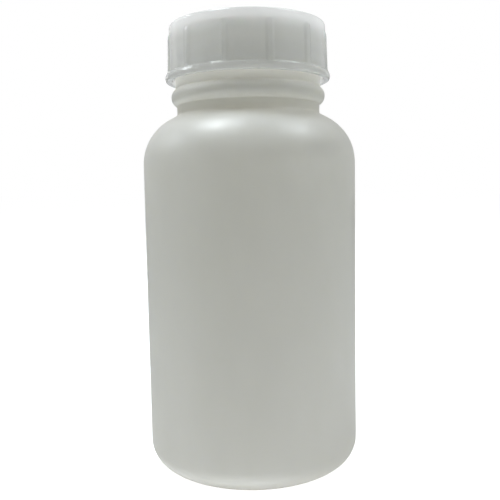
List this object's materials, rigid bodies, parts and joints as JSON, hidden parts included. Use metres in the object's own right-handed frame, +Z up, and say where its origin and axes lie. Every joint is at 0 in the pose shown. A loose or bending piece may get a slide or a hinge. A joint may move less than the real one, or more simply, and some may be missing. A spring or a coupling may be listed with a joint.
{
  "type": "wide-neck reagent bottle",
  "caption": "Round plastic wide-neck reagent bottle with a rounded shoulder, a ringed neck, a ribbed screw cap that unscrews and a sealing disc under the cap.",
  "frame": {"origin": "centre of the base, on the surface the bottle stands on", "axes": "+Z up along the bottle's axis, out of the mouth; -Y is the front"},
  "size_m": [0.076, 0.076, 0.157],
  "materials": {
    "bottle_plastic": "natural milky polyethylene, softly sheened",
    "cap_plastic": "natural translucent polypropylene, smooth moulded",
    "disc_foam": "white polyethylene foam"
  },
  "bodies": {
    "bottle_body": {"bottle": "bottle_plastic"},
    "seal": {"sealing_disc": "disc_foam"},
    "cap": {"screw_cap": "cap_plastic"}
  },
  "joints": [
    {"name": "cap_lift", "type": "slide", "parent": "bottle_body", "child": "seal", "axis": [0, 0, 1], "range_m": [0, 0.0176]},
    {"name": "cap_turn", "type": "hinge", "parent": "seal", "child": "cap", "pos_m": [0, 0, 0.1473], "axis": [0, 0, 1], "range_deg": [0, 1800]}
  ],
  "couplings": [
    {"joint": "cap_lift", "follows": "cap_turn", "m_per_rad": 0.00055704}
  ]
}
